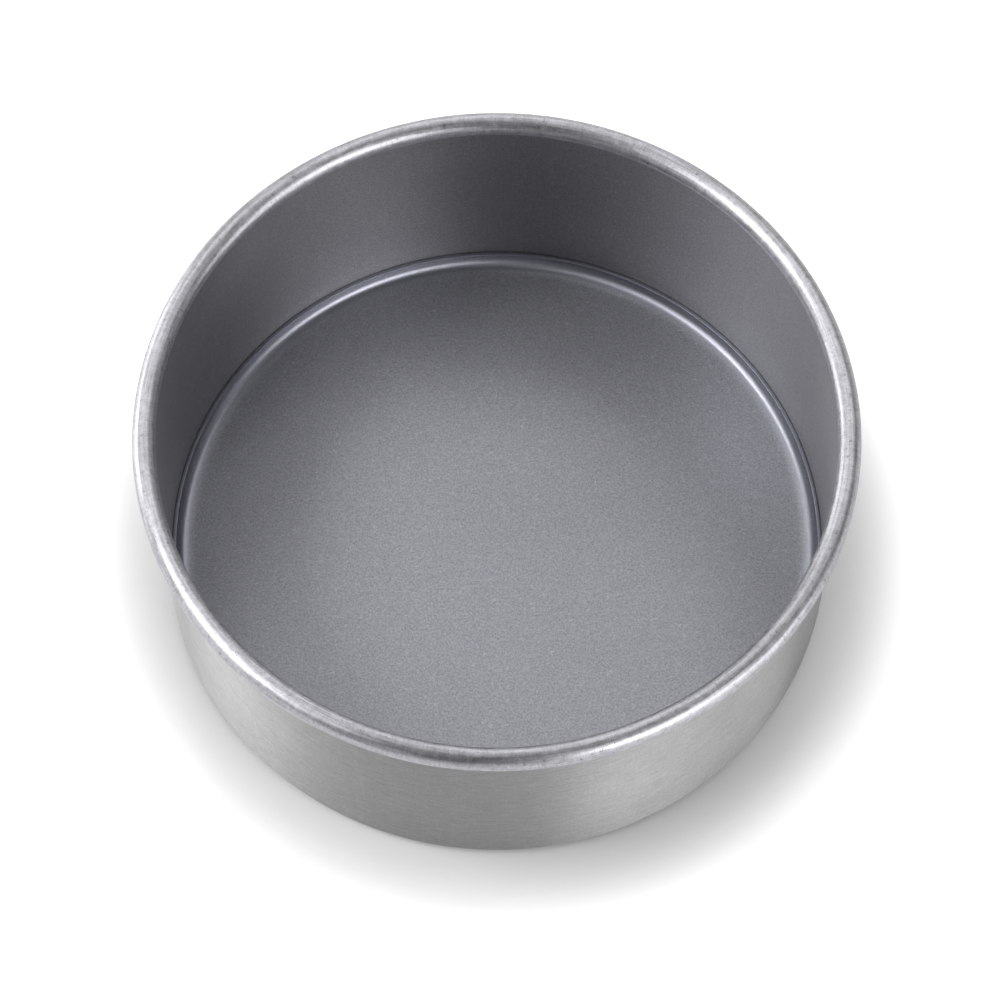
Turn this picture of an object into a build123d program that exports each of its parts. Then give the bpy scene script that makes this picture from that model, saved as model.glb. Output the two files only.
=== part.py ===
from build123d import *
import os
from math import acos, cos, degrees, radians, sin

# Round deep cake tin with a loose base, in millimetres.
# The tin stands on Z = 0 with its axis on Z, and the origin is the centre of its underside.
# Every piece is a sheet turned round the axis, so each outline is drawn in the plane of
# radius (first coordinate) and height (second coordinate).

# Driving sizes of the tin
inner_diameter = 178.0
overall_height = 75.0
sheet = 1.0
cut_edge_round_share = 0.1

# Rolled rim: a hollow curl turned outward over the top of the wall
rim_diameter = 6.0
curl_end_gap = 0.4

# Foot: the wall bends inward and ends as a flat ledge that carries the base
foot_inside_radius = 2.0
ledge_flat_width = 8.5

# Loose base: a flat disc that rises gently near its edge and then turns straight up
base_sheet = 1.0
base_side_clearance = 0.15
base_rise_radius = 14.0
base_rise_angle = 12.0
base_edge_radius = 3.0

inner_radius = inner_diameter / 2
rim_radius = rim_diameter / 2
ledge_top = sheet


def on_circle(centre, radius, angle):
    """Point of a circle at an angle in degrees, anticlockwise from the radius direction."""
    return (centre[0] + radius * cos(radians(angle)), centre[1] + radius * sin(radians(angle)))


def turn(outline):
    """Solid that an outline sweeps in one turn round the Z axis."""
    return revolve(Plane.XZ * outline, axis=Axis.Z)


def side_wall():
    """Wall, rolled rim and foot ledge, as one sheet of even thickness."""
    outer_radius = inner_radius + sheet
    curl_centre = (inner_radius + rim_radius, overall_height - rim_radius)
    curl_inside = rim_radius - sheet
    curl_end = -degrees(acos((sheet + curl_end_gap - rim_radius) / rim_radius))

    foot_outside_radius = foot_inside_radius + sheet
    foot_centre = (inner_radius - foot_inside_radius, ledge_top + foot_inside_radius)
    ledge_radius = inner_radius - foot_inside_radius - ledge_flat_width

    inner_foot_start = on_circle(foot_centre, foot_inside_radius, -90)
    outer_foot_start = on_circle(foot_centre, foot_outside_radius, -90)
    edges = [
        Line((ledge_radius, ledge_top), (ledge_radius, 0)),
        Line((ledge_radius, 0), outer_foot_start),
        CenterArc(foot_centre, foot_outside_radius, -90, 90),
        Line((outer_radius, foot_centre[1]), (outer_radius, curl_centre[1])),
        CenterArc(curl_centre, curl_inside, curl_end, 180 - curl_end),
        Line(on_circle(curl_centre, curl_inside, curl_end), on_circle(curl_centre, rim_radius, curl_end)),
        CenterArc(curl_centre, rim_radius, curl_end, 180 - curl_end),
        Line((inner_radius, curl_centre[1]), (inner_radius, foot_centre[1])),
        CenterArc(foot_centre, foot_inside_radius, -90, 90),
        Line(inner_foot_start, (ledge_radius, ledge_top)),
    ]
    outline = make_face(Wire(edges))
    ledge_corners = outline.vertices().sort_by(Axis.X)[:2]
    return turn(fillet(ledge_corners, sheet * cut_edge_round_share))


def loose_base():
    """Disc that lies on the ledge, with a gentle rise and a short edge turned straight up."""
    floor_height = ledge_top + base_sheet
    rise_end = base_rise_angle - 90
    edge_turn = 90 - base_rise_angle

    disc_radius = inner_radius - base_side_clearance
    bend_radius = disc_radius - base_sheet - base_edge_radius
    rise_start = bend_radius - (base_rise_radius - base_edge_radius) * sin(radians(base_rise_angle))
    rise_centre = (rise_start, floor_height + base_rise_radius)
    bend_centre = on_circle(rise_centre, base_rise_radius - base_edge_radius, rise_end)
    edge_top = bend_centre[1]
    edges = [
        Line((0, floor_height), (0, ledge_top)),
        Line((0, ledge_top), (rise_start, ledge_top)),
        CenterArc(rise_centre, base_rise_radius + base_sheet, -90, base_rise_angle),
        CenterArc(bend_centre, base_edge_radius + base_sheet, rise_end, edge_turn),
        Line((disc_radius, edge_top), (disc_radius - base_sheet, edge_top)),
        CenterArc(bend_centre, base_edge_radius, rise_end, edge_turn),
        CenterArc(rise_centre, base_rise_radius, -90, base_rise_angle),
        Line((rise_start, floor_height), (0, floor_height)),
    ]
    outline = make_face(Wire(edges))
    edge_corners = outline.vertices().sort_by(Axis.Y)[-2:]
    return turn(fillet(edge_corners, base_sheet * cut_edge_round_share))


def write_parts():
    os.makedirs("parts", exist_ok=True)
    for node, solid in (("side_wall", side_wall()), ("loose_base", loose_base())):
        solid.label = node
        export_step(solid, f"parts/{node}.step")


write_parts()
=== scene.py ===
from collections import namedtuple
from math import acos, cos, pi, radians, sin

import bpy
from bpy.props import FloatProperty, FloatVectorProperty, IntProperty, PointerProperty
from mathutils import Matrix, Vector


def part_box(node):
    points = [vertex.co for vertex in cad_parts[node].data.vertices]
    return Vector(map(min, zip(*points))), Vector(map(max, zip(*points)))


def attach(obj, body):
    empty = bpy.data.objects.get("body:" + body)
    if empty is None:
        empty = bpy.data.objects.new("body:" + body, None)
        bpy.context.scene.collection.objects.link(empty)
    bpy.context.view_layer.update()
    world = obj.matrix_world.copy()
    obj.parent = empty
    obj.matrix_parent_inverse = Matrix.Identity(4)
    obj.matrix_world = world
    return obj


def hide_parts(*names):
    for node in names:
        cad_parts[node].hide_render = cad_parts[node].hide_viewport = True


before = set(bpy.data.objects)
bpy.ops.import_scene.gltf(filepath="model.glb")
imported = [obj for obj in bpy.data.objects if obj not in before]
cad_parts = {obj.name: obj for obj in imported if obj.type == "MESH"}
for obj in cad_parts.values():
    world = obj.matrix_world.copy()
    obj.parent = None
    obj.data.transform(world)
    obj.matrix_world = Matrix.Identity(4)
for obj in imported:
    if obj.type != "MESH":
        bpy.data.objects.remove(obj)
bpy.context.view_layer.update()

bl_info = {
    "name": "Round Cake Tin",
    "version": (1, 0, 0),
    "blender": (4, 5, 0),
    "location": "3D View > Sidebar > Cake Tin",
    "description": "Builds a deep round cake tin with a loose base, and its studio",
    "category": "Object",
}

WALL_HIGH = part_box("side_wall")[1]
BASE_LOW, BASE_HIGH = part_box("loose_base")


# Lamps: each one's turn from +X and rise above the table in degrees, and its level, which is the
# brightness that it alone gives a white card facing it
LAMP_DISTANCE = 1.5
LAMP_WIDTH = 0.45
LAMPS = (
    ("back_left_low_softbox", 140, 16, 0.126),
    ("left_low_softbox", 160, 16, 0.162),
    ("right_low_softbox", 340, 16, 0.103),
    ("back_right_softbox", 80, 34, 0.062),
    ("back_softbox", 100, 34, 0.076),
    ("front_left_softbox", 200, 34, 0.111),
    ("front_softbox", 300, 34, 0.219),
    ("front_right_softbox", 320, 34, 0.189),
    ("right_high_softbox", 30, 54, 0.044),
    ("back_right_high_softbox", 60, 54, 0.074),
    ("back_left_high_softbox", 120, 54, 0.085),
    ("left_key_softbox", 180, 54, 0.320),
    ("front_left_high_softbox", 210, 54, 0.079),
    ("top_softbox", 120, 72, 0.039),
)

# Sky: its level, and the heights between which the white band along the horizon fades out
SKY_LEVEL = 0.04
HORIZON_BAND = (0.22, 0.13)

# Table: its width, the mottle of its colour, the glow that lifts it to white, and how that fades
# near the tin into the contact shadow
TABLE_WIDTH = 12
TABLE_MOTTLE_SHARE = 0.02
TABLE_GLOW = 0.60
REFLECTED_TABLE_GLOW = 0.20
CONTACT_SHADOW_REACH = 0.024
CONTACT_SHADOW_POWER = 5
CONTACT_SHADOW_SAMPLES = 16

# Camera at the photograph's angle
CAMERA_AIM = (0.00082, 0, 0.02977)
CAMERA_TURN = 270
CAMERA_RISE = 64.88
CAMERA_DISTANCE = 1.218
CAMERA_LENS = 162.97
CAMERA_SENSOR = 36

# Steps of the meshes: round bends, along straight parts and across the corners of a cut edge.
# Points nearer than JOINED are one
CURL_STEPS = 72
WALL_ROWS = 10
FOOT_STEPS = 16
LEDGE_ROWS = 3
EDGE_STEPS = 12
RISE_STEPS = 4
FLOOR_ROWS = 12
CUT_STEPS = 3
CUT_CORNER_ANGLE = radians(60)
SMOOTH_ANGLE = radians(40)
CURL_GAP_SLACK = radians(1)
JOINED = 1e-5

# Even noise in the surfaces: features per metre, detail and roughness of the noise
Grain = namedtuple("Grain", "scale detail roughness", defaults=(0.55,))
SAND = Grain(1900.0, 2.0, 0.7)
CLOUD = Grain(24.0, 4.0)
FLECKS = Grain(760.0, 1.0)
WINDING_LINES = Grain(900.0, 1.0, 0.5)
SCRATCHES = Grain(330.0, 1.0, 0.5)
MOTTLE = Grain(620.0, 4.0, 0.65)
PITS = Grain(1100.0, 1.0)
TABLE_MOTTLE = Grain(60.0, 3.0)

# Noise drawn out round the axis: features per radian along it, features per metre across it, and
# detail and roughness of the noise
Streaks = namedtuple("Streaks", "along across detail roughness", defaults=(0.55,))
BRUSHING = Streaks(14.0, 2600.0, 3.0, 0.7)
DRAWING = Streaks(260.0, 45.0, 3.0)
RIM_LINES = Streaks(7.0, 3000.0, 3.0, 0.65)
RIM_TICKS = Streaks(420.0, 160.0, 2.0)
RING_LINES = Streaks(7.0, 3500.0, 2.0)

# Levels of the noise that make a line, a fleck or a pit
NOISE_MIDDLE = 0.5
WINDING_LINE_WIDTH = 0.05
WINDING_LINE_MEAN = 0.3
SCRATCH_WIDTH = 0.03
FLECK_LEVELS = (0.66, 0.76)
PIT_LEVELS = (0.34, 0.26)

# Where one surface passes into the next: a share of the sheet for the two sides of the wall, and
# metres from the bottom of the curl, the outside of the wall and the bend of the base
WALL_SIDES = (0.7, 0.3)
CURL_TOP = (0.0020, 0.0032)
CURL_SIDE = (0.0001, 0.0006)
CURL_UNDERSIDE = (-0.0015, -0.0005)
BASE_EDGE = (-0.0006, 0.0004)

# Surfaces of the metal: tone, roughness, stretch of the highlights, depth of the relief in metres,
# and how much each pattern moves the tone, the roughness and the relief
Surface = namedtuple("Surface", "tone roughness stretch depth in_tone in_roughness in_relief")
INSIDE_WALL = Surface(
    tone=1.0, roughness=0.44, stretch=0.85, depth=0.00002,
    in_tone={"drawing": 0.16, "sandy": 1.0},
    in_roughness={"cloud": 0.06},
    in_relief={"sand": 0.4, "winding_lines": 0.2})
OUTSIDE_WALL = Surface(
    tone=1.0, roughness=0.47, stretch=0.95, depth=0.00002,
    in_tone={"drawing": 0.16, "brushing": 1.0, "cloud": 0.2, "sand": 0.5, "scratches": 0.10},
    in_roughness={"cloud": 0.06, "brushing": 0.10},
    in_relief={"brushing": 0.5})
# The rim's tone above 1 lightens it further, as part of its painted highlight
RIM = Surface(
    tone=1.06, roughness=0.40, stretch=0.6, depth=0.00003,
    in_tone={"mottle": 0.85, "rim_lines": 1.2, "rim_ticks": 0.50, "sand": 0.5, "pits": -0.35},
    in_roughness={"mottle": 0.20, "rim_lines": 0.12},
    in_relief={"mottle": 0.4, "rim_lines": 0.5, "pits": -0.3})
BASE = Surface(
    tone=1.0, roughness=0.50, stretch=0.0, depth=0.00003,
    in_tone={"sandy": 1.0, "ring_lines": 0.30},
    in_roughness={"edge": -0.09, "cloud": 0.05},
    in_relief={"sand": 0.4, "winding_lines": 0.2, "ring_lines": 0.5, "edge": 0.25})

# The sandy pattern: how much each pattern in it moves the tone, and the share of it that the
# base's smoother edge loses
SANDY_TONE = {"sand": 0.98, "winding_lines": 0.16, "flecks": 0.16, "cloud": 0.14}
SAND_LOST_AT_EDGE = 0.6

# All surfaces: turn of the stretched highlights, and strength of the relief
HIGHLIGHT_TURN = 0.25
RELIEF_STRENGTH = 0.6


# Sizes and colours that a user would change

class TinSizes(bpy.types.PropertyGroup):
    rim_radius: FloatProperty(
        name="Rim radius", description="From the axis to the outside of the rolled rim",
        default=WALL_HIGH[0], unit="LENGTH", precision=4)
    height: FloatProperty(
        name="Height", description="From the table to the top of the rim",
        default=WALL_HIGH[2], unit="LENGTH", precision=4)
    rim_thickness: FloatProperty(
        name="Rim thickness", description="Diameter of the hollow curl",
        default=0.006, unit="LENGTH", precision=4)
    curl_gap: FloatProperty(
        name="Curl gap", description="Gap between the end of the curl and the wall",
        default=0.0004, unit="LENGTH", precision=5)
    sheet: FloatProperty(
        name="Sheet", description="Thickness of the wall",
        default=0.001, unit="LENGTH", precision=4)
    foot_radius: FloatProperty(
        name="Foot radius", description="Inside radius of the bend at the foot",
        default=0.002, unit="LENGTH", precision=4)
    ledge_width: FloatProperty(
        name="Ledge width", description="Flat part of the ledge under the base",
        default=0.0085, unit="LENGTH", precision=4)
    base_radius: FloatProperty(
        name="Base radius", description="From the axis to the edge of the loose base",
        default=BASE_HIGH[0], unit="LENGTH", precision=4)
    rise_radius: FloatProperty(
        name="Rise radius", description="Radius over which the base starts to rise near its edge",
        default=0.014, unit="LENGTH", precision=4)
    rise_angle: FloatProperty(
        name="Rise angle", description="Slope at which the gentle rise ends",
        default=radians(12), unit="ROTATION")
    edge_radius: FloatProperty(
        name="Edge radius", description="Radius of the tighter bend at the edge of the base",
        default=0.003, unit="LENGTH", precision=4)
    cut_round: FloatProperty(
        name="Cut round", description="Rounding of a cut edge, as a share of the sheet",
        default=0.1, min=0.05, max=0.45)
    turn_steps: IntProperty(
        name="Turn steps", description="Segments round the tin", default=384, min=24)


class TinFinish(bpy.types.PropertyGroup):
    outside_colour: FloatVectorProperty(
        name="Outside", description="Colour of the brushed outside of the wall", subtype="COLOR",
        default=(0.430, 0.429, 0.430), min=0, max=1)
    # Darker and bluer than the outside of the same sheet: painted shade of the hollow
    inside_colour_with_painted_shade: FloatVectorProperty(
        name="Inside", description="Colour of the duller inside of the wall", subtype="COLOR",
        default=(0.296, 0.296, 0.312), min=0, max=1)
    # Lighter and bluer than the wall of the same sheet: a painted highlight on the rim
    rim_colour_with_painted_highlight: FloatVectorProperty(
        name="Rim", description="Colour of the rolled rim", subtype="COLOR",
        default=(0.504, 0.504, 0.535), min=0, max=1)
    base_colour: FloatVectorProperty(
        name="Base", description="Colour of the matt loose base", subtype="COLOR",
        default=(0.410, 0.416, 0.452), min=0, max=1)
    # Darker and bluer than the base of the same sheet: painted shade that dims and tints the
    # highlight on the bend
    edge_colour_with_painted_shade: FloatVectorProperty(
        name="Base edge", description="Colour of the smoother upturned edge of the base",
        subtype="COLOR", default=(0.355, 0.362, 0.410), min=0, max=1)
    table_colour: FloatVectorProperty(
        name="Table", description="Colour of the surface under the tin", subtype="COLOR",
        default=(0.75, 0.75, 0.75), min=0, max=1)


# Shader maths: a wrapped socket with arithmetic, and one method for every other node

Place = namedtuple("Place", "vector x y z r")


class Value:
    """An output socket. An expression on values adds the Math nodes that work it out."""

    def __init__(self, finish, socket):
        self.finish = finish
        self.socket = socket

    def math(self, operation, *operands):
        return self.finish.node(
            "ShaderNodeMath", {"operation": operation}, dict(enumerate(operands)))

    def __add__(self, other):
        return self.math("ADD", self, other)

    def __sub__(self, other):
        return self.math("SUBTRACT", self, other)

    def __rsub__(self, other):
        return self.math("SUBTRACT", other, self)

    def __mul__(self, other):
        return self.math("MULTIPLY", self, other)

    def __pow__(self, other):
        return self.math("POWER", self, other)

    def __rpow__(self, other):
        return self.math("POWER", other, self)

    def __abs__(self):
        return self.math("ABSOLUTE", self)

    def highest(self, other):
        return self.math("MAXIMUM", self, other)

    __radd__ = __add__
    __rmul__ = __mul__


class Finish:
    """The node tree of one material, or of the world."""

    def __init__(self, owner, end="ShaderNodeOutputMaterial"):
        owner.use_nodes = True
        self.owner = owner
        self.end = end
        self.tree = owner.node_tree
        self.tree.nodes.clear()

    def node(self, kind, settings=None, inputs=None, output=0):
        """Adds a node, sets it up, feeds its sockets with values or links. Returns an output."""
        new = self.tree.nodes.new(kind)
        for name, setting in (settings or {}).items():
            setattr(new, name, setting)
        for name, value in (inputs or {}).items():
            if isinstance(value, Value):
                self.tree.links.new(value.socket, new.inputs[name])
            else:
                new.inputs[name].default_value = value
        return Value(self, new.outputs[output])

    def place(self):
        """Where a point of the piece lies: its vector, x, y, z, and distance r from the axis."""
        vector = self.node("ShaderNodeTexCoord", output="Object")
        x, y, z = self.split(vector)
        flat = self.node("ShaderNodeCombineXYZ", inputs={0: x, 1: y})
        r = self.node("ShaderNodeVectorMath", {"operation": "LENGTH"}, {0: flat}, output=1)
        return Place(vector, x, y, z, r)

    def split(self, vector):
        """The x, y and z of a vector."""
        parts = self.node("ShaderNodeSeparateXYZ", inputs={0: vector})
        return [Value(self, socket) for socket in parts.socket.node.outputs]

    def output(self, shader):
        """Ends the tree with a shader, and returns the material or world that owns it."""
        end = self.tree.nodes.new(self.end)
        self.tree.links.new(shader.socket, end.inputs["Surface"])
        return self.owner


# Mesh helpers

def deselect():
    if bpy.context.object and bpy.context.object.mode != "OBJECT":
        bpy.ops.object.mode_set(mode="OBJECT")
    bpy.ops.object.select_all(action="DESELECT")


def start_edit():
    bpy.ops.object.mode_set(mode="EDIT")
    bpy.ops.mesh.select_mode(type="VERT")
    bpy.ops.mesh.select_all(action="DESELECT")


def pick(piece, test):
    """Selects the vertices that a test on their place accepts. Starts and ends in edit mode."""
    bpy.ops.object.mode_set(mode="OBJECT")
    for part in (*piece.data.polygons, *piece.data.edges):
        part.select = False
    for vertex in piece.data.vertices:
        vertex.select = bool(test(vertex.co))
    bpy.ops.object.mode_set(mode="EDIT")


def extrude_rows(rows, way):
    """Draws the selected end of a midline out in even rows."""
    step = tuple(part / rows for part in way)
    for _ in range(rows):
        bpy.ops.mesh.extrude_region_move(TRANSFORM_OT_translate={"value": step})


def bend(centre, steps, angle):
    """Turns the selected end of a midline on round the centre of a bend."""
    bpy.ops.mesh.spin(steps=steps, angle=angle, center=centre, axis=(0, -1, 0))


def finish_modifier(piece, kind, **settings):
    """Adds a modifier and applies it."""
    modifier = piece.modifiers.new(kind.title(), kind)
    for name, value in settings.items():
        setattr(modifier, name, value)
    bpy.ops.object.modifier_apply(modifier=modifier.name)


def turn_sheet(piece, sizes):
    """Turns a midline round the axis, gives it the sheet's thickness and rounds its cut edges."""
    bpy.ops.mesh.select_all(action="SELECT")
    bpy.ops.mesh.spin(steps=sizes.turn_steps, angle=2 * pi, center=(0, 0, 0), axis=(0, 0, 1))
    bpy.ops.mesh.select_all(action="SELECT")
    bpy.ops.mesh.remove_doubles(threshold=JOINED)
    bpy.ops.mesh.normals_make_consistent(inside=False)
    bpy.ops.object.mode_set(mode="OBJECT")
    finish_modifier(piece, "SOLIDIFY", thickness=sizes.sheet, offset=0, use_even_offset=True)
    finish_modifier(
        piece, "BEVEL", width=sizes.sheet * sizes.cut_round, segments=CUT_STEPS,
        limit_method="ANGLE", angle_limit=CUT_CORNER_ANGLE)


def register_piece(piece, name, body, node, material):
    """Names a finished piece, gives it its material slot, ties it to its body and hides the solid
    that it replaces.
    """
    piece.name = name
    piece.data.name = name
    piece.data.materials.clear()
    piece.data.materials.append(material)
    bpy.ops.object.shade_smooth_by_angle(angle=SMOOTH_ANGLE)
    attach(piece, body)
    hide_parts(node)


def down_slope(angle):
    """From the centre of a bend to the point of it that has this slope."""
    return Vector((sin(angle), 0, -cos(angle)))


def look_back(thing, aim, turn, rise, distance):
    """Links a lamp or camera at a distance from its aim, looking back at it. Angles in degrees."""
    turn, rise = radians(turn), radians(rise)
    outward = Vector((cos(rise) * cos(turn), cos(rise) * sin(turn), sin(rise)))
    thing.location = aim + outward * distance
    thing.rotation_mode = "QUATERNION"
    thing.rotation_quaternion = (-outward).to_track_quat("-Z", "Y")
    bpy.context.collection.objects.link(thing)


# Materials

def turned_streaks(finish, place, streaks):
    """Noise drawn out round the axis.

    The fourth dimension carries the radius, so the pattern closes on itself with no seam.
    """
    flat = finish.node("ShaderNodeCombineXYZ", inputs={0: place.x, 1: place.y})
    heading = finish.node("ShaderNodeVectorMath", {"operation": "NORMALIZE"}, {0: flat})
    stretched = scaled(finish, heading, streaks.along)
    rise = finish.node("ShaderNodeCombineXYZ", inputs={2: place.z * streaks.across})
    vector = finish.node("ShaderNodeVectorMath", {"operation": "ADD"}, {0: stretched, 1: rise})
    return finish.node("ShaderNodeTexNoise", {"noise_dimensions": "4D"}, {
        "Vector": vector, "W": place.r * streaks.across, "Scale": 1.0,
        "Detail": streaks.detail, "Roughness": streaks.roughness})


def even_noise(finish, place, grain):
    """Noise with no direction."""
    return finish.node("ShaderNodeTexNoise", inputs={
        "Vector": place.vector, "Scale": grain.scale, "Detail": grain.detail,
        "Roughness": grain.roughness})


def ramp_up(finish, value, start, end):
    """0 below start, 1 above end, smooth between. Start may be the higher one."""
    return finish.node("ShaderNodeMapRange", {"interpolation_type": "SMOOTHSTEP"}, {
        "Value": value, "From Min": start, "From Max": end})


def ramp_from(finish, value, origin, levels):
    """A ramp between two levels that are measured from an origin."""
    start, end = levels
    return ramp_up(finish, value, origin + start, origin + end)


def scaled(finish, vector, factor):
    """A vector or a colour times a number."""
    return finish.node("ShaderNodeVectorMath", {"operation": "SCALE"}, {0: vector, 3: factor})


def crossing_lines(finish, place, grain, width):
    """Fine winding lines, where a noise crosses its middle: 1 on a line, 0 beside it."""
    noise = even_noise(finish, place, grain) - NOISE_MIDDLE
    return ramp_up(finish, abs(noise), width, 0.0)


def sandy_patterns(finish, place):
    """Patterns of the matt sheet: sand, winding light lines, light flecks and soft clouds.

    Each is the amount above or below its middle. The sandy one mixes the others for the tone.
    """
    patterns = {
        "sand": even_noise(finish, place, SAND) - NOISE_MIDDLE,
        "cloud": even_noise(finish, place, CLOUD) - NOISE_MIDDLE,
        "winding_lines":
            crossing_lines(finish, place, WINDING_LINES, WINDING_LINE_WIDTH) - WINDING_LINE_MEAN,
        "flecks": ramp_up(finish, even_noise(finish, place, FLECKS), *FLECK_LEVELS),
    }
    patterns["sandy"] = varied(0.0, patterns, SANDY_TONE)
    return patterns


def wall_patterns(finish, place):
    """The sandy patterns, and those of the drawn and brushed wall and of the worn rim."""
    patterns = sandy_patterns(finish, place)
    streaks = {
        "drawing": DRAWING, "brushing": BRUSHING, "rim_lines": RIM_LINES, "rim_ticks": RIM_TICKS}
    for name, shape in streaks.items():
        patterns[name] = turned_streaks(finish, place, shape) - NOISE_MIDDLE
    patterns["scratches"] = crossing_lines(finish, place, SCRATCHES, SCRATCH_WIDTH)
    patterns["mottle"] = even_noise(finish, place, MOTTLE) - NOISE_MIDDLE
    patterns["pits"] = ramp_up(finish, even_noise(finish, place, PITS), *PIT_LEVELS)
    return patterns


def varied(start, patterns, amounts):
    """A number that each named pattern moves by its amount."""
    for name, amount in amounts.items():
        start = start + patterns[name] * amount
    return start


def metal(finish, patterns, surface, colour):
    """Shader of one surface of the metal, with its patterns in the tone, roughness and relief."""
    relief = finish.node("ShaderNodeBump", inputs={
        "Height": varied(0.0, patterns, surface.in_relief),
        "Distance": surface.depth,
        "Strength": RELIEF_STRENGTH,
    })
    return finish.node("ShaderNodeBsdfPrincipled", inputs={
        "Base Color": scaled(finish, colour, varied(surface.tone, patterns, surface.in_tone)),
        "Metallic": 1.0,
        "Roughness": varied(surface.roughness, patterns, surface.in_roughness),
        "Anisotropic": surface.stretch,
        "Anisotropic Rotation": HIGHLIGHT_TURN,
        "Normal": relief,
    })


def mixed_shader(finish, amount, first, second):
    return finish.node("ShaderNodeMixShader", inputs={0: amount, 1: first, 2: second})


def side_wall_finish(sizes, colours):
    """Bare drawn aluminium: matt inside, darkened as painted shade; brushed outside; rim lightened
    as a painted highlight.
    """
    finish = Finish(bpy.data.materials.new("drawn_aluminium"))
    place = finish.place()
    inner_radius = sizes.rim_radius - sizes.rim_thickness
    outer_radius = inner_radius + sizes.sheet
    curl_bottom = sizes.height - sizes.rim_thickness
    inside = ramp_from(finish, place.r, inner_radius, [side * sizes.sheet for side in WALL_SIDES])
    curl_side = ramp_from(finish, place.r, outer_radius, CURL_SIDE)
    above_wall = ramp_from(finish, place.z, curl_bottom, CURL_UNDERSIDE)
    curl_top = ramp_from(finish, place.z, curl_bottom, CURL_TOP)
    rim = curl_top.highest(curl_side * above_wall)

    patterns = wall_patterns(finish, place)
    outside_shader = metal(finish, patterns, OUTSIDE_WALL, (*colours.outside_colour,))
    # The inside colour is painted shade
    inside_shader = metal(finish, patterns, INSIDE_WALL, (*colours.inside_colour_with_painted_shade,))
    # The rim colour and tone are a painted highlight
    rim_shader = metal(finish, patterns, RIM, (*colours.rim_colour_with_painted_highlight,))
    wall_shader = mixed_shader(finish, inside, outside_shader, inside_shader)
    return finish.output(mixed_shader(finish, rim, wall_shader, rim_shader))


def loose_base_finish(sizes, colours):
    """Matt, sandy aluminium sheet with a smoother upturned edge whose darker, bluer colour is
    painted shade.
    """
    finish = Finish(bpy.data.materials.new("matt_aluminium"))
    place = finish.place()
    bend_radius = sizes.base_radius - sizes.sheet - sizes.edge_radius
    edge = ramp_from(finish, place.r, bend_radius, BASE_EDGE)

    patterns = sandy_patterns(finish, place)
    patterns["sandy"] = patterns["sandy"] * (1 - edge * SAND_LOST_AT_EDGE)
    patterns["ring_lines"] = (turned_streaks(finish, place, RING_LINES) - NOISE_MIDDLE) * edge
    patterns["edge"] = edge
    # The edge colour mixed in here is painted shade over the highlight on the bend
    colour = finish.node("ShaderNodeMix", {"data_type": "RGBA"}, {
        0: edge, 6: (*colours.base_colour, 1), 7: (*colours.edge_colour_with_painted_shade, 1)}, output=2)
    return finish.output(metal(finish, patterns, BASE, colour))


# Operators

class CAKETIN_OT_side_wall(bpy.types.Operator):
    """Turn the wall with its rolled rim and its foot ledge"""
    bl_idname = "caketin.side_wall"
    bl_label = "Side Wall"

    def execute(self, context):
        sizes = context.scene.tin_sizes
        curl_radius = sizes.rim_thickness / 2
        half_sheet = sizes.sheet / 2
        inner_radius = sizes.rim_radius - sizes.rim_thickness
        curl_centre = Vector((inner_radius + curl_radius, 0, sizes.height - curl_radius))
        curl_end = -acos((sizes.sheet + sizes.curl_gap - curl_radius) / curl_radius)
        foot_radius = sizes.foot_radius
        foot_centre = Vector((inner_radius - foot_radius, 0, sizes.sheet + foot_radius))

        deselect()
        bpy.ops.mesh.primitive_circle_add(
            vertices=CURL_STEPS, radius=curl_radius - half_sheet, location=curl_centre,
            rotation=(pi / 2, 0, 0))
        piece = context.object
        bpy.ops.object.transform_apply(location=True, rotation=True, scale=True)
        start_edit()

        def in_gap(place):
            angle = (place - curl_centre).xz.angle_signed(Vector((1, 0)))
            return CURL_GAP_SLACK - pi < angle < curl_end - CURL_GAP_SLACK

        def at_wall(place):
            return abs(place.z - curl_centre.z) < JOINED and place.x < curl_centre.x

        pick(piece, in_gap)
        bpy.ops.mesh.delete(type="VERT")
        pick(piece, at_wall)
        extrude_rows(WALL_ROWS, (0, 0, foot_centre.z - curl_centre.z))
        bend(foot_centre, FOOT_STEPS, pi / 2)
        extrude_rows(LEDGE_ROWS, (-sizes.ledge_width, 0, 0))
        turn_sheet(piece, sizes)
        register_piece(
            piece, "tin_side_wall", "tin", "side_wall",
            side_wall_finish(sizes, context.scene.tin_finish))
        return {"FINISHED"}


class CAKETIN_OT_loose_base(bpy.types.Operator):
    """Turn the loose base with its short upturned edge"""
    bl_idname = "caketin.loose_base"
    bl_label = "Loose Base"

    def execute(self, context):
        sizes = context.scene.tin_sizes
        half_sheet = sizes.sheet / 2
        rise = sizes.rise_angle
        bend_x = sizes.base_radius - sizes.sheet - sizes.edge_radius
        rise_x = bend_x - (sizes.rise_radius - sizes.edge_radius) * sin(rise)
        rise_centre = Vector((rise_x, 0, BASE_LOW[2] + sizes.sheet + sizes.rise_radius))
        bend_centre = rise_centre + down_slope(rise) * (sizes.rise_radius - sizes.edge_radius)
        edge_end = bend_centre + Vector((sizes.edge_radius + half_sheet, 0, 0))

        # One point at the end of the upturned edge, from a plane merged into its centre
        deselect()
        bpy.ops.mesh.primitive_plane_add(size=sizes.sheet, location=edge_end)
        piece = context.object
        bpy.ops.object.transform_apply(location=True, rotation=True, scale=True)
        start_edit()
        bpy.ops.mesh.select_all(action="SELECT")
        bpy.ops.mesh.merge(type="CENTER")
        bend(bend_centre, EDGE_STEPS, pi / 2 - rise)
        bend(rise_centre, RISE_STEPS, rise)
        extrude_rows(FLOOR_ROWS, (-rise_centre.x, 0, 0))
        turn_sheet(piece, sizes)
        register_piece(
            piece, "tin_loose_base", "base", "loose_base",
            loose_base_finish(sizes, context.scene.tin_finish))
        return {"FINISHED"}


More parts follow.
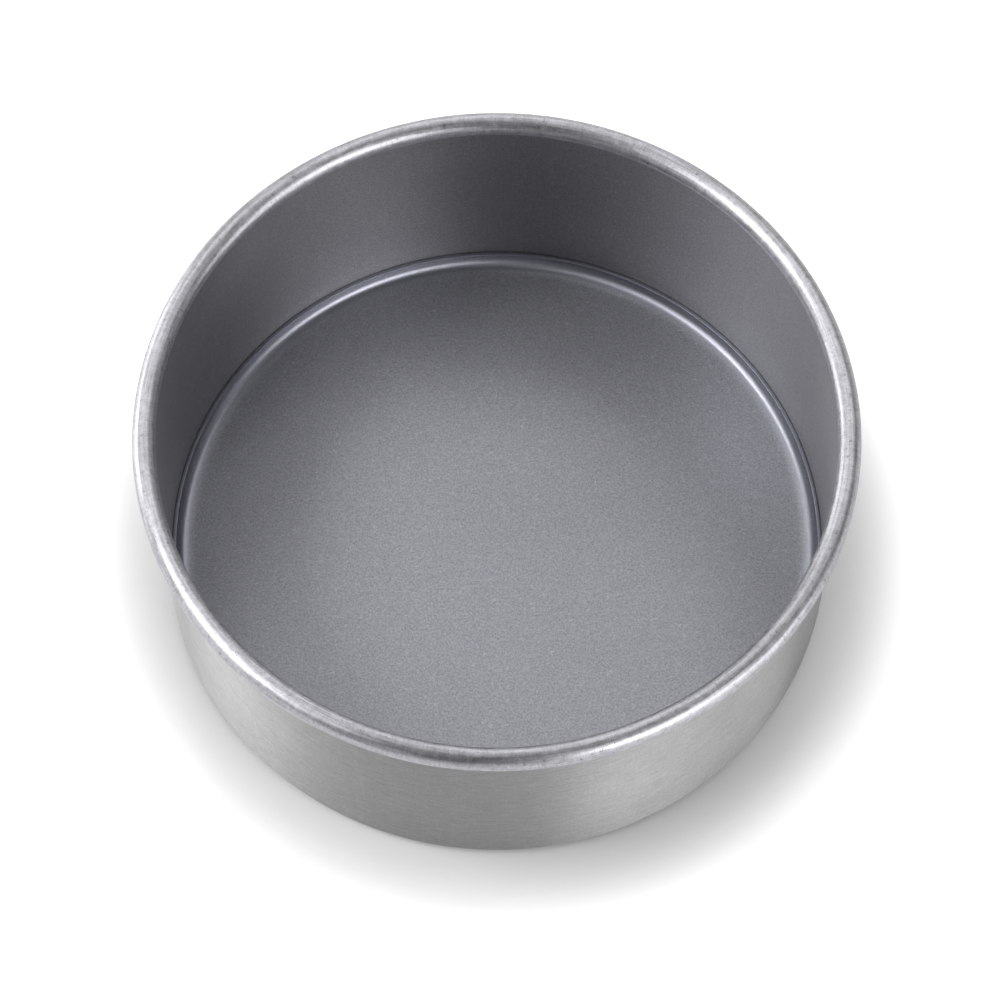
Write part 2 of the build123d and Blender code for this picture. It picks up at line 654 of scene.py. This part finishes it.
class CAKETIN_OT_studio(bpy.types.Operator):
    """Set up the table, the lamps and the camera"""
    bl_idname = "caketin.studio"
    bl_label = "Studio"

    def execute(self, context):
        self.add_table(context.scene.tin_finish.table_colour)
        self.add_sky(context.scene)
        self.add_lamps()
        self.add_camera(context.scene)
        context.scene.view_settings.view_transform = "Standard"
        return {"FINISHED"}

    def add_table(self, colour):
        """White matt surface that keeps the shadow. Its glow is seen but lights nothing."""
        deselect()
        bpy.ops.mesh.primitive_plane_add(size=TABLE_WIDTH)
        table = bpy.context.object
        table.name = "table"
        finish = Finish(bpy.data.materials.new("white_table"))
        mottle = even_noise(finish, finish.place(), TABLE_MOTTLE) - NOISE_MIDDLE
        shade = scaled(finish, (*colour,), 1.0 + mottle * TABLE_MOTTLE_SHARE)
        matt = finish.node("ShaderNodeBsdfDiffuse", inputs={"Color": shade})
        openness = finish.node(
            "ShaderNodeAmbientOcclusion", {"samples": CONTACT_SHADOW_SAMPLES},
            {"Distance": CONTACT_SHADOW_REACH}, output=1)
        camera, mirror = self.seen_rays(finish)
        seen_glow = camera * TABLE_GLOW + mirror * REFLECTED_TABLE_GLOW
        glow = finish.node("ShaderNodeEmission", inputs={
            "Color": (1, 1, 1, 1), "Strength": openness ** CONTACT_SHADOW_POWER * seen_glow})
        table.data.materials.append(finish.output(
            finish.node("ShaderNodeAddShader", inputs={0: matt, 1: glow})))

    @staticmethod
    def seen_rays(finish):
        """1 for what the camera sees straight, and 1 for what it sees in metal and glass."""
        camera, glossy, transmission = (
            finish.node("ShaderNodeLightPath", output=output)
            for output in ("Is Camera Ray", "Is Glossy Ray", "Is Transmission Ray"))
        return camera, glossy.highest(transmission)

    def add_sky(self, scene):
        """Dim even sky. The camera sees it white, and metal sees a white band on the horizon."""
        finish = Finish(bpy.data.worlds.new("studio_sky"), "ShaderNodeOutputWorld")
        direction = finish.node("ShaderNodeTexCoord", output="Generated")
        height = finish.split(direction)[2]
        camera, mirror = self.seen_rays(finish)
        backdrop = camera.highest(mirror * ramp_up(finish, height, *HORIZON_BAND))
        light = finish.node("ShaderNodeBackground", inputs={
            "Color": (1, 1, 1, 1), "Strength": SKY_LEVEL + backdrop * (1 - SKY_LEVEL)})
        scene.world = finish.output(light)

    def add_lamps(self):
        """Square softboxes that look at the tin, each with the energy that gives its level."""
        for name, turn, rise, level in LAMPS:
            light = bpy.data.lights.new(name, "AREA")
            light.shape = "SQUARE"
            light.size = LAMP_WIDTH
            light.energy = level * pi * pi * LAMP_DISTANCE ** 2
            look_back(bpy.data.objects.new(name, light), Vector(), turn, rise, LAMP_DISTANCE)

    def add_camera(self, scene):
        data = bpy.data.cameras.new("photo_camera")
        data.sensor_width = CAMERA_SENSOR
        data.lens = CAMERA_LENS
        camera = bpy.data.objects.new("photo_camera", data)
        look_back(camera, Vector(CAMERA_AIM), CAMERA_TURN, CAMERA_RISE, CAMERA_DISTANCE)
        scene.camera = camera


class CAKETIN_PT_panel(bpy.types.Panel):
    """Sizes, colours and build buttons of the cake tin"""
    bl_idname = "CAKETIN_PT_panel"
    bl_label = "Cake Tin"
    bl_space_type = "VIEW_3D"
    bl_region_type = "UI"
    bl_category = "Cake Tin"

    def draw(self, context):
        for group in (context.scene.tin_sizes, context.scene.tin_finish):
            for name in group.__annotations__:
                self.layout.prop(group, name)
        for operator in BUILD_STEPS:
            self.layout.operator(operator.bl_idname)


BUILD_STEPS = (CAKETIN_OT_side_wall, CAKETIN_OT_loose_base, CAKETIN_OT_studio)
CLASSES = (TinSizes, TinFinish, *BUILD_STEPS, CAKETIN_PT_panel)


def register():
    for item in CLASSES:
        bpy.utils.register_class(item)
    bpy.types.Scene.tin_sizes = PointerProperty(type=TinSizes)
    bpy.types.Scene.tin_finish = PointerProperty(type=TinFinish)


def unregister():
    del bpy.types.Scene.tin_finish
    del bpy.types.Scene.tin_sizes
    for item in reversed(CLASSES):
        bpy.utils.unregister_class(item)


def main():
    register()
    for operator in BUILD_STEPS:
        group, name = operator.bl_idname.split(".")
        getattr(getattr(bpy.ops, group), name)()


if __name__ == "__main__":
    main()
